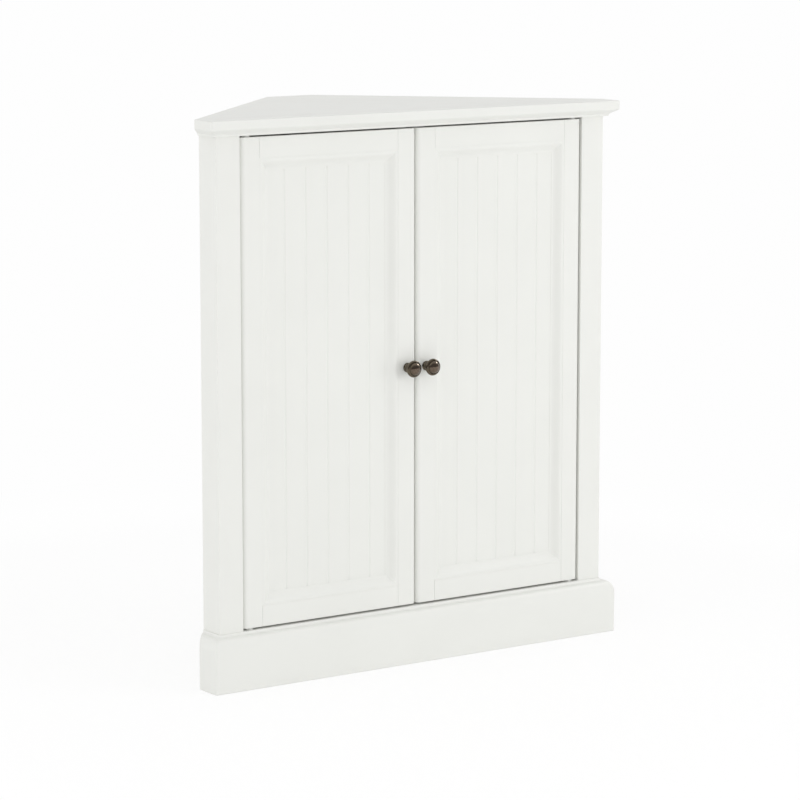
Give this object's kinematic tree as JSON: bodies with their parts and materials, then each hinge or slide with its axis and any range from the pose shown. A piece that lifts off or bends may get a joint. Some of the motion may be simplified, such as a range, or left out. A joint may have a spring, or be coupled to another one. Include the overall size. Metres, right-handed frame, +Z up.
{
  "type": "corner cupboard",
  "caption": "White corner cupboard with a pair of tongue-and-groove panelled doors on pivot hinges, dark mushroom knobs, moulded top and plinth, and shelves inside.",
  "frame": {"origin": "on the floor, at the middle of the box that holds the whole cupboard with its doors shut", "axes": "+X to the right as seen from the front, +Y from the doors towards the room's corner, +Z up"},
  "size_m": [0.804, 0.4142, 0.914],
  "materials": {
    "paint": "satin white paint on board",
    "panel_paint": "satin white paint on grooved board",
    "white_plastic": "moulded white plastic",
    "bronze": "dark oil-rubbed bronze",
    "steel": "zinc-plated steel"
  },
  "bodies": {
    "case": {"top_board": "paint", "bottom_panel": "paint", "corner_back_panel": "paint", "base_rail": "paint", "plinth_front": "paint", "lower_shelf": "paint", "upper_shelf": "paint", "magnetic_catch": "white_plastic", "left_wall_panel": "paint", "left_side_panel": "paint", "left_face_stile": "paint", "left_plinth_return": "paint", "left_bottom_pivot": "white_plastic", "left_top_pivot": "white_plastic", "right_wall_panel": "paint", "right_side_panel": "paint", "right_face_stile": "paint", "right_plinth_return": "paint", "right_bottom_pivot": "white_plastic", "right_top_pivot": "white_plastic", "lower_shelf_pin_left_front": "steel", "lower_shelf_pin_left_back": "steel", "lower_shelf_pin_right_front": "steel", "lower_shelf_pin_right_back": "steel", "upper_shelf_pin_left_front": "steel", "upper_shelf_pin_left_back": "steel", "upper_shelf_pin_right_front": "steel", "upper_shelf_pin_right_back": "steel"},
    "left_door": {"left_door_hinge_stile": "paint", "left_door_meeting_stile": "paint", "left_door_top_rail": "paint", "left_door_bottom_rail": "paint", "left_door_panel": "panel_paint", "left_door_moulding_bottom": "paint", "left_door_moulding_top": "paint", "left_door_moulding_hinge": "paint", "left_door_moulding_meeting": "paint", "left_strike_plate": "steel", "left_knob": "bronze", "left_knob_screw": "steel", "left_top_bush": "white_plastic", "left_bottom_bush": "white_plastic"},
    "right_door": {"right_door_hinge_stile": "paint", "right_door_meeting_stile": "paint", "right_door_top_rail": "paint", "right_door_bottom_rail": "paint", "right_door_panel": "panel_paint", "right_door_moulding_bottom": "paint", "right_door_moulding_top": "paint", "right_door_moulding_hinge": "paint", "right_door_moulding_meeting": "paint", "right_strike_plate": "steel", "right_knob": "bronze", "right_knob_screw": "steel", "right_top_bush": "white_plastic", "right_bottom_bush": "white_plastic"}
  },
  "joints": [
    {"name": "left_door_hinge", "type": "hinge", "parent": "case", "child": "left_door", "pos_m": [-0.321, -0.16985, 0.49025], "axis": [0, 0, -1], "range_deg": [0, 110]},
    {"name": "right_door_hinge", "type": "hinge", "parent": "case", "child": "right_door", "pos_m": [0.321, -0.16985, 0.49025], "axis": [0, 0, 1], "range_deg": [0, 110]}
  ]
}
